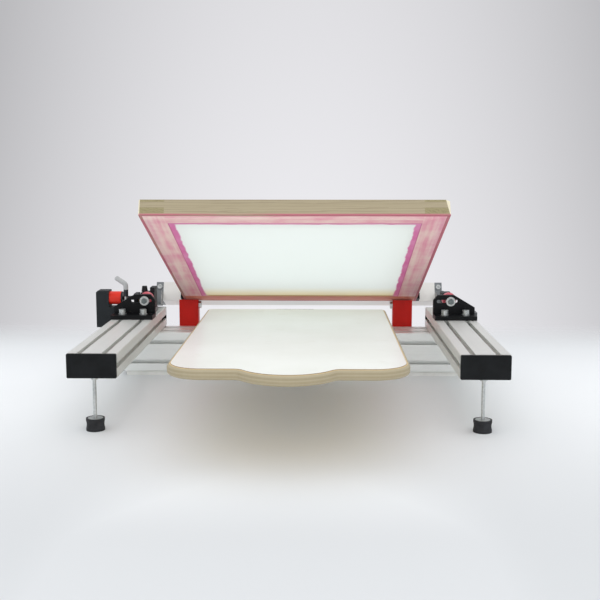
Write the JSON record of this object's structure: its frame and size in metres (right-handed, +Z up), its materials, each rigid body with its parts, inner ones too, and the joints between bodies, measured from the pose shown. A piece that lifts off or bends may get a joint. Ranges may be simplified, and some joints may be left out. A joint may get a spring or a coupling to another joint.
{
  "type": "tabletop screen printing press",
  "caption": "Tabletop screen printing press: slotted aluminium base, hinged wooden screen frame with mesh, fine sideways and lengthways register screws, and a tongue-shaped platen.",
  "frame": {"origin": "on the table, in the middle of the skid board under the crossbeam", "axes": "+X to the operator's right, +Y away from the operator, +Z up"},
  "size_m": [0.7485, 0.8087, 0.3686],
  "materials": {
    "profile_aluminium": "satin, clear anodised",
    "hinge_aluminium": "satin, clear anodised",
    "cap_plastic": "fine texture",
    "glide_plastic": "pale, satin",
    "rubber_black": "matt",
    "black_coating": "black, satin",
    "anchor_black": "machined, matt",
    "red_coating": "red, satin",
    "red_knob": "bright red, satin",
    "zinc_steel": "zinc plated",
    "grey_coating": "grey, satin",
    "lever_grey": "pale grey, satin",
    "dark_steel": "black oxide",
    "brass": "turned",
    "frame_wood": "sanded, ink stained",
    "plywood": "birch plywood, sealed edge",
    "laminate_white": "smooth, satin",
    "mesh_fabric": "fine open weave",
    "grip_black": "moulded"
  },
  "bodies": {
    "base": {"crossbeam": "profile_aluminium", "rail_left": "profile_aluminium", "rail_right": "profile_aluminium", "platen_arm": "profile_aluminium", "end_caps": "cap_plastic", "beam_pads": "glide_plastic", "arm_cleats": "profile_aluminium", "slot_nuts": "zinc_steel", "slot_screws": "dark_steel", "platen_board": "plywood", "platen_laminate": "laminate_white", "bracket_left": "black_coating", "bracket_right": "black_coating", "bracket_washers": "zinc_steel", "bracket_bolts": "zinc_steel", "foot_nuts": "zinc_steel", "stop_posts": "red_coating", "post_cross_bolts": "zinc_steel", "x_anchor": "anchor_black", "anchor_screws": "dark_steel"},
    "left_foot": {"foot_buffer_left": "rubber_black"},
    "left_foot_rod": {"foot_rod_left": "zinc_steel"},
    "right_foot": {"foot_buffer_right": "rubber_black"},
    "right_foot_rod": {"foot_rod_right": "zinc_steel"},
    "slide_clamps": {"slide_nuts": "zinc_steel", "slide_screws": "zinc_steel"},
    "clamp_lever": {"lever_stud": "zinc_steel", "lever_hub": "dark_steel", "lever_arm": "lever_grey"},
    "carriage": {"slide_plates": "black_coating", "bearing_blocks": "black_coating", "nut_block_left": "anchor_black", "nut_block_right": "anchor_black", "x_lug": "anchor_black"},
    "brake": {"brake_knob": "grip_black"},
    "x_drive": {"x_knob": "red_knob", "x_spindle": "dark_steel"},
    "x_follower": {"x_nut": "brass"},
    "left_slot_washers": {"slot_washers_left": "zinc_steel"},
    "left_register": {"register_screw_left": "zinc_steel", "register_disc_left": "red_knob"},
    "right_slot_washers": {"slot_washers_right": "zinc_steel"},
    "right_register": {"register_screw_right": "zinc_steel", "register_disc_right": "red_knob"},
    "screen": {"hinge_beam": "hinge_aluminium", "end_blocks": "grey_coating", "end_screws": "zinc_steel", "hinge_pins": "zinc_steel", "screen_bar_left": "frame_wood", "screen_bar_right": "frame_wood", "screen_bar_front": "frame_wood", "screen_bar_rear": "frame_wood", "mesh": "mesh_fabric", "screen_cheeks": "black_coating", "cheek_screws": "dark_steel", "screen_inserts": "brass"},
    "left_clamp_washer": {"clamp_washer_left": "zinc_steel"},
    "left_star": {"star_knob_left": "grip_black"},
    "right_clamp_washer": {"clamp_washer_right": "zinc_steel"},
    "right_star": {"star_knob_right": "grip_black"}
  },
  "joints": [
    {"name": "y_adjust", "type": "slide", "parent": "base", "child": "slide_clamps", "axis": [0, 1, 0], "range_m": [-0.003, 0.006]},
    {"name": "x_adjust", "type": "slide", "parent": "slide_clamps", "child": "carriage", "axis": [1, 0, 0], "range_m": [-0.005, 0.005]},
    {"name": "screen_lift", "type": "hinge", "parent": "carriage", "child": "screen", "pos_m": [0.0065, 0.037, 0.15], "axis": [1, 0, 0], "range_deg": [0, 22]},
    {"name": "clamp_lever_turn", "type": "hinge", "parent": "slide_clamps", "child": "clamp_lever", "pos_m": [-0.33, -0.077, 0.17], "axis": [0, 0, 1], "range_deg": [-30, 90]},
    {"name": "brake_turn", "type": "hinge", "parent": "carriage", "child": "brake", "pos_m": [-0.301, -0.033, 0.17], "axis": [0, 0, 1], "range_deg": [-180, 90]},
    {"name": "x_knob_turn", "type": "hinge", "parent": "base", "child": "x_drive", "pos_m": [-0.35, -0.055, 0.16], "axis": [1, 0, 0], "range_deg": [-1440, 1440]},
    {"name": "x_nut_travel", "type": "slide", "parent": "base", "child": "x_follower", "axis": [1, 0, 0], "range_m": [-0.005, 0.005]},
    {"name": "left_slot_travel", "type": "slide", "parent": "base", "child": "left_slot_washers", "axis": [1, 0, 0], "range_m": [-0.005, 0.005]},
    {"name": "left_register_turn", "type": "hinge", "parent": "left_slot_washers", "child": "left_register", "pos_m": [-0.2905, -0.081, 0.16], "axis": [0, 1, 0], "range_deg": [-2160, 1080]},
    {"name": "left_foot_height", "type": "slide", "parent": "base", "child": "left_foot", "axis": [0, 0, 1], "range_m": [-0.015, 0]},
    {"name": "left_foot_turn", "type": "hinge", "parent": "left_foot", "child": "left_foot_rod", "pos_m": [-0.31, -0.446, 0.05], "axis": [0, 0, 1], "range_deg": [-5400, 0]},
    {"name": "left_clamp_travel", "type": "slide", "parent": "screen", "child": "left_clamp_washer", "axis": [0, 0.9272, -0.3746], "range_m": [0, 0.006]},
    {"name": "left_star_turn", "type": "hinge", "parent": "left_clamp_washer", "child": "left_star", "pos_m": [-0.1405, 0.10084, 0.13984], "axis": [0, 0.9272, -0.3746], "range_deg": [0, 1728]},
    {"name": "right_slot_travel", "type": "slide", "parent": "base", "child": "right_slot_washers", "axis": [1, 0, 0], "range_m": [-0.005, 0.005]},
    {"name": "right_register_turn", "type": "hinge", "parent": "right_slot_washers", "child": "right_register", "pos_m": [0.3035, -0.081, 0.16], "axis": [0, 1, 0], "range_deg": [-2160, 1080]},
    {"name": "right_foot_height", "type": "slide", "parent": "base", "child": "right_foot", "axis": [0, 0, 1], "range_m": [-0.015, 0]},
    {"name": "right_foot_turn", "type": "hinge", "parent": "right_foot", "child": "right_foot_rod", "pos_m": [0.31, -0.446, 0.05], "axis": [0, 0, 1], "range_deg": [-5400, 0]},
    {"name": "right_clamp_travel", "type": "slide", "parent": "screen", "child": "right_clamp_washer", "axis": [0, 0.9272, -0.3746], "range_m": [0, 0.006]},
    {"name": "right_star_turn", "type": "hinge", "parent": "right_clamp_washer", "child": "right_star", "pos_m": [0.1595, 0.10084, 0.13984], "axis": [0, 0.9272, -0.3746], "range_deg": [0, 1728]}
  ],
  "couplings": [
    {"joint": "x_knob_turn", "follows": "x_adjust", "rad_per_m": -5026.5},
    {"joint": "x_nut_travel", "follows": "x_adjust", "ratio": 1},
    {"joint": "left_slot_travel", "follows": "x_adjust", "ratio": 1},
    {"joint": "left_register_turn", "follows": "y_adjust", "rad_per_m": -6283.2},
    {"joint": "left_foot_turn", "follows": "left_foot_height", "rad_per_m": 6283.2},
    {"joint": "left_star_turn", "follows": "left_clamp_travel", "rad_per_m": 5026.5},
    {"joint": "right_slot_travel", "follows": "x_adjust", "ratio": 1},
    {"joint": "right_register_turn", "follows": "y_adjust", "rad_per_m": -6283.2},
    {"joint": "right_foot_turn", "follows": "right_foot_height", "rad_per_m": 6283.2},
    {"joint": "right_star_turn", "follows": "right_clamp_travel", "rad_per_m": 5026.5}
  ]
}
